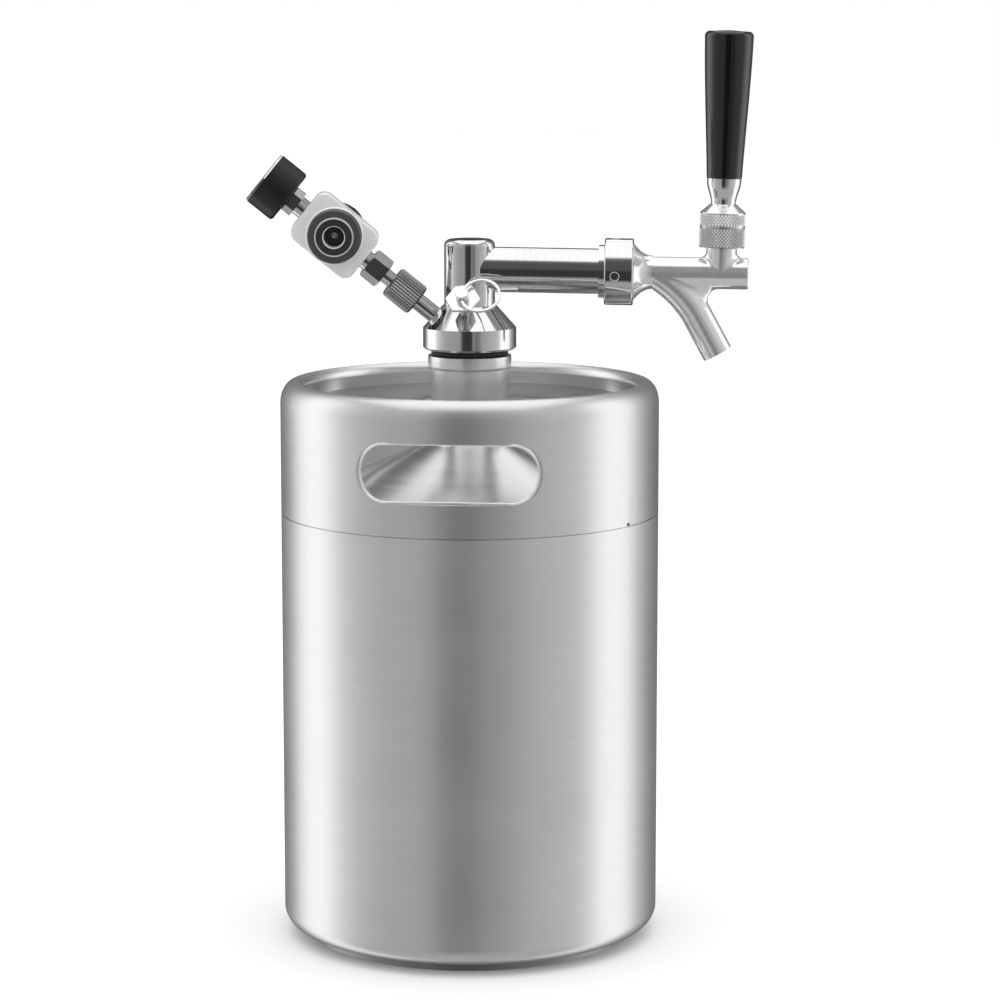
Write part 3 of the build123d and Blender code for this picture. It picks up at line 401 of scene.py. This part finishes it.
FINISHES = {
    brushed: ("body_shell",),
    skirt: ("top_skirt",),
    dull_shaded_steel: ("foot_ring",),
    inner: ("dome_head", "dip_tube"),
    satin: ("neck_tube", "neck_collar"),
    mirror: ("head_cap", "column"),
    mirror_tap: ("shank_tube", "shank_ferrule", "coupling_nut"),
    cast_chrome: ("faucet_tail", "faucet_body"),
    mirror_lever: ("handle_ferrule", "lever", "faucet_shaft"),
    knurled: ("faucet_bonnet", "lever_collar"),
    fluted_shade_highlight: ("gas_nut",),
    bright_gas: ("gas_post", "gas_nipple", "union_nut", "regulator_inlet", "regulator_bonnet",
                 "gauge_stem"),
    bright_relief: ("relief_body", "relief_stem"),
    bright_nose: ("piercing_pin",),
    socket_grey: ("cartridge_socket", "socket_ring"),
    satin_block: ("regulator_body",),
    grey_anodised: ("socket_housing",),
    nickel: ("pull_ring",),
    spring_steel: ("relief_spring", "pressure_spring"),
    brass: ("handle_insert", "adjusting_nut", "regulator_piston", "bourdon_tube"),
    gloss_black: ("tap_handle",),
    case_black: ("pressure_knob", "gauge_case"),
    rubber: ("head_seal", "column_seal", "coupling_washer", "seat_washer", "relief_seal", "gas_seal",
             "cartridge_seal", "piston_seal"),
    nylon: ("ball_seat", "friction_ring"),
    dial_face: ("gauge_dial",),
    needle_red: ("gauge_needle",),
    window: ("gauge_window",),
}
finished = set()
for finish, names in FINISHES.items():
    for name in names:
        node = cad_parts[name]
        for slot in node.material_slots:
            slot.material = finish
        finished.add(name)
unfinished = set(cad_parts) - finished
assert not unfinished, unfinished


# ---- Pieces of our own ------------------------------------------------------------------------------
def piece(name, mesh, material, body, smooth=False):
    """A new visible piece, made from a bmesh, that rides on a body."""
    bmesh.ops.recalc_face_normals(mesh, faces=mesh.faces)
    data = bpy.data.meshes.new(name)
    mesh.to_mesh(data)
    mesh.free()
    data.materials.append(material)
    if smooth:
        data.shade_smooth()
    made = bpy.data.objects.new(name, data)
    scene.collection.objects.link(made)
    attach(made, body)
    return made


def join_rings(mesh, first, second):
    """Four-sided faces between two closed rings of points."""
    for index in range(len(first)):
        after = (index + 1) % len(first)
        mesh.faces.new((first[index], first[after], second[after], second[index]))


def square_frame(origin, along):
    """A matrix whose Z runs along a part's axis, from a point on it."""
    turn = UP.rotation_difference(Vector(along)).to_matrix().to_4x4()
    return Matrix.Translation(origin) @ turn


def knurled_sleeve(name, place, low, high, radius, body):
    """A thin sleeve with a diamond knurl, on a ring whose own surface is at this radius."""
    pitch, rise, sunk, bore = 1.4 * MM, 0.42 * MM, 0.02 * MM, 0.3 * MM
    columns = 2 * round(math.tau * radius / pitch)
    rows = 2 * round((high - low) / (1.2 * pitch))
    mesh = bmesh.new()

    def ring(level, radii):
        turns = (math.tau * column / columns for column in range(columns))
        return [
            mesh.verts.new(place @ Vector((r * math.cos(turn), r * math.sin(turn), level)))
            for turn, r in zip(turns, radii)
        ]

    rings = []
    for row in range(rows + 1):
        end = row in (0, rows)
        radii = [radius + (rise if (row + column) % 2 and not end else sunk) for column in range(columns)]
        rings.append(ring(low + (high - low) * row / rows, radii))
    for row in range(rows):
        for column in range(columns):
            after = (column + 1) % columns
            a, b = rings[row][column], rings[row][after]
            c, d = rings[row + 1][after], rings[row + 1][column]
            if (row + column) % 2:
                mesh.faces.new((a, b, d))
                mesh.faces.new((b, c, d))
            else:
                mesh.faces.new((a, b, c))
                mesh.faces.new((a, c, d))
    bottom, top = ring(low, [radius - bore] * columns), ring(high, [radius - bore] * columns)
    for first, second in ((rings[-1], top), (top, bottom), (bottom, rings[0])):
        join_rings(mesh, first, second)
    piece(name, mesh, knurl_shade_highlight, body)


def profile(node, place):
    """A node's points as (height along a frame's Z, radius about it)."""
    back = place.inverted()
    points = (back @ vertex.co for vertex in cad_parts[node].data.vertices)
    return [(point.z, math.hypot(point.x, point.y)) for point in points]


def along_axis(node, place):
    """A node's lowest and highest points along a frame's Z, and its widest radius about it."""
    heights, radii = zip(*profile(node, place))
    return min(heights), max(heights), max(radii)


KNURL_MARGIN = 0.3 * MM
COLLAR_RADIUS, COLLAR_FACE = 10.4 * MM, 10.35 * MM
lever_place = square_frame(middle("faucet_bonnet"), LEVER)
bonnet_base, _, bonnet_radius = along_axis("faucet_bonnet", lever_place)
bonnet_face = bonnet_radius - 0.05 * MM
bonnet_top = max(height for height, reach in profile("faucet_bonnet", lever_place) if reach > bonnet_face)
knurled_sleeve(
    "bonnet_knurl", lever_place, bonnet_base + KNURL_MARGIN, bonnet_top - KNURL_MARGIN, bonnet_radius,
    "tap_head",
)
collar = [height for height, reach in profile("lever_collar", lever_place) if reach > COLLAR_FACE]
knurled_sleeve(
    "collar_knurl", lever_place, min(collar) + KNURL_MARGIN, max(collar) - KNURL_MARGIN, COLLAR_RADIUS,
    "tap_lever",
)


RING_WIDTH, RING_THICKNESS = 1.2 * MM, 1.24 * MM
RING_STEPS, RING_START, RING_TURNS = 240, 0.6, 1.86
CROSSING_START, CROSSING_SHARE = 0.42, 0.16
LEAF_FILL = 0.94
# One turn's section, as shares of its width and of half the ring's thickness
RING_SECTION = (
    (-0.5, -0.3), (-0.5, 0.3), (-0.3, 0.5), (0.3, 0.5),
    (0.5, 0.3), (0.5, -0.3), (0.3, -0.5), (-0.3, -0.5),
)


def split_ring(name, node, axis):
    """A key ring's two flat turns, in place of a plain ring."""
    place = square_frame(middle(node), axis)
    outer = along_axis(node, place)[2]
    leaf = RING_THICKNESS / 2
    mesh = bmesh.new()
    rings = []
    for step in range(RING_STEPS + 1):
        share = step / RING_STEPS
        turn = RING_START + share * RING_TURNS * math.tau
        crossing = min(1.0, max(0.0, (share - CROSSING_START) / CROSSING_SHARE))
        rise = (crossing * crossing * (3 - 2 * crossing) - 0.5) * leaf
        ring = []
        for side, up in RING_SECTION:
            reach = outer - RING_WIDTH / 2 + side * RING_WIDTH
            point = Vector((reach * math.cos(turn), reach * math.sin(turn), rise + up * leaf * LEAF_FILL))
            ring.append(mesh.verts.new(place @ point))
        rings.append(ring)
    for first, second in zip(rings, rings[1:]):
        join_rings(mesh, first, second)
    mesh.faces.new(rings[0])
    mesh.faces.new(reversed(rings[-1]))
    made = piece(name, mesh, nickel, "relief_ring", smooth=True)
    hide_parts(node)


split_ring("split_ring", "pull_ring", RELIEF)


def slot_edge(name, azimuth, radius, low, high, reach):
    """The rolled edge of a handle slot: a bead round its outline, on the wall's outer face."""
    half = (high - low) / 2
    level = (high + low) / 2
    straight = reach - half
    bead, turns, sides = 0.62 * MM, 44, 10
    outline = []
    for centre, start in ((straight, -90), (-straight, 90)):
        for step in range(turns + 1):
            angle = math.radians(start + 180 * step / turns)
            outline.append((centre + half * math.cos(angle), half * math.sin(angle)))
    mesh = bmesh.new()
    rings = []
    count = len(outline)
    for index, (aside, up) in enumerate(outline):
        before, after = outline[index - 1], outline[(index + 1) % count]
        run = Vector((after[0] - before[0], after[1] - before[1])).normalized()
        inward = Vector((-run.y, run.x))
        ring = []
        for side in range(sides):
            turn = math.tau * side / sides
            offset = bead * 0.75 + bead * math.cos(turn)
            depth = radius - 0.55 * bead + bead * math.sin(turn)
            across, rise = aside + inward.x * offset, up + inward.y * offset
            bearing = math.radians(azimuth) + across / radius
            point = (depth * math.cos(bearing), depth * math.sin(bearing), level + rise)
            ring.append(mesh.verts.new(point))
        rings.append(ring)
    for index, first in enumerate(rings):
        join_rings(mesh, first, rings[(index + 1) % count])
    piece(name, mesh, lip_steel, "keg", smooth=True)


SLOT_MIDDLE, SLOT_HALF_HEIGHT, SLOT_HALF_ANGLE = 227.7 * MM, 13.5 * MM, 27.6
SLOT_AZIMUTH = -93.2
keg_radius = (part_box("body_shell")[1].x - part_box("body_shell")[0].x) / 2
for name, azimuth in (("front_slot_edge", SLOT_AZIMUTH), ("rear_slot_edge", SLOT_AZIMUTH + 180)):
    slot_edge(
        name, azimuth, keg_radius, SLOT_MIDDLE - SLOT_HALF_HEIGHT, SLOT_MIDDLE + SLOT_HALF_HEIGHT,
        math.radians(SLOT_HALF_ANGLE) * keg_radius,
    )


def spanner_hole_edges():
    """The turned edges of the coupling nut's four spanner holes, as thin beads on its outer face."""
    first_turn, distance = 94.0, 66.9 * MM
    hole, bead, around, sides = 2.05 * MM, 0.15 * MM, 36, 8
    tap_height = middle("shank_tube").z - middle("shank_tube").x * TAP.z
    radius = along_axis("coupling_nut", square_frame(middle("coupling_nut"), TAP))[2]
    upward = heading(0, 90 + math.degrees(math.asin(TAP.z)))
    mesh = bmesh.new()
    for quarter in range(4):
        out = Matrix.Rotation(math.radians(first_turn + 90 * quarter), 3, TAP) @ upward
        aside = out.cross(TAP)
        rings = []
        for step in range(around):
            turn = math.tau * step / around
            ring = []
            for side in range(sides):
                lift = math.tau * side / sides
                reach = hole + bead * math.cos(lift)
                across = reach * math.sin(turn)
                depth = math.sqrt(radius * radius - across * across) - bead * 0.5 + bead * math.sin(lift)
                point = TAP * (distance + reach * math.cos(turn)) + aside * across + out * depth
                ring.append(mesh.verts.new(point + UP * tap_height))
            rings.append(ring)
        for index, first in enumerate(rings):
            join_rings(mesh, first, rings[(index + 1) % around])
    piece("spanner_hole_edges", mesh, lip_steel, "tap_head", smooth=True)


spanner_hole_edges()


TICKS, MAJOR_EVERY, SWEEP = 31, 5, 270
TICK_END = 10.6
MAJOR_START, MAJOR_HALF = 7.9, 0.22
MINOR_START, MINOR_HALF = 9.4, 0.1
BAR_FACES = ((0, 1, 2, 3), (4, 5, 6, 7), (0, 1, 5, 4), (1, 2, 6, 5), (2, 3, 7, 6), (3, 0, 4, 7))


def dial_marks():
    """Printed ticks round the gauge's dial, as thin raised bars."""
    place = square_frame(middle("gauge_dial"), GAS)
    top = along_axis("gauge_dial", place)[1]
    mesh = bmesh.new()
    for tick in range(TICKS):
        turn = math.radians(SWEEP * tick / (TICKS - 1))
        major = tick % MAJOR_EVERY == 0
        start, half = (MAJOR_START, MAJOR_HALF) if major else (MINOR_START, MINOR_HALF)
        along = Vector((math.cos(turn), math.sin(turn), 0))
        aside = Vector((-math.sin(turn), math.cos(turn), 0))
        corners = []
        for level in (-0.02, 0.05):
            for reach, side in ((start, -half), (TICK_END, -half), (TICK_END, half), (start, half)):
                point = (along * reach + aside * side) * MM + Vector((0, 0, top + level * MM))
                corners.append(mesh.verts.new(place @ point))
        for face in BAR_FACES:
            mesh.faces.new([corners[index] for index in face])
    piece("dial_marks", mesh, print_black, "regulator")


dial_marks()

# ---- Floor ------------------------------------------------------------------------------------------
FLOOR_REACH = 9.0
floor_mesh = bmesh.new()
bmesh.ops.create_circle(floor_mesh, cap_ends=True, segments=96, radius=FLOOR_REACH)
floor_data = bpy.data.meshes.new("floor")
floor_mesh.to_mesh(floor_data)
floor_mesh.free()
pale = Finish("pale_floor", Roughness=0.9)
tone = pale.noise(pale.place(), 3.0, 2.0)
pale.link(pale.blend(tone, (0.93, 0.93, 0.93), (0.95, 0.95, 0.95)), "Base Color")
pale.shader.inputs["Specular IOR Level"].default_value = 0.1
floor_data.materials.append(pale.material)
floor = bpy.data.objects.new("floor", floor_data)
floor.visible_glossy = False
scene.collection.objects.link(floor)
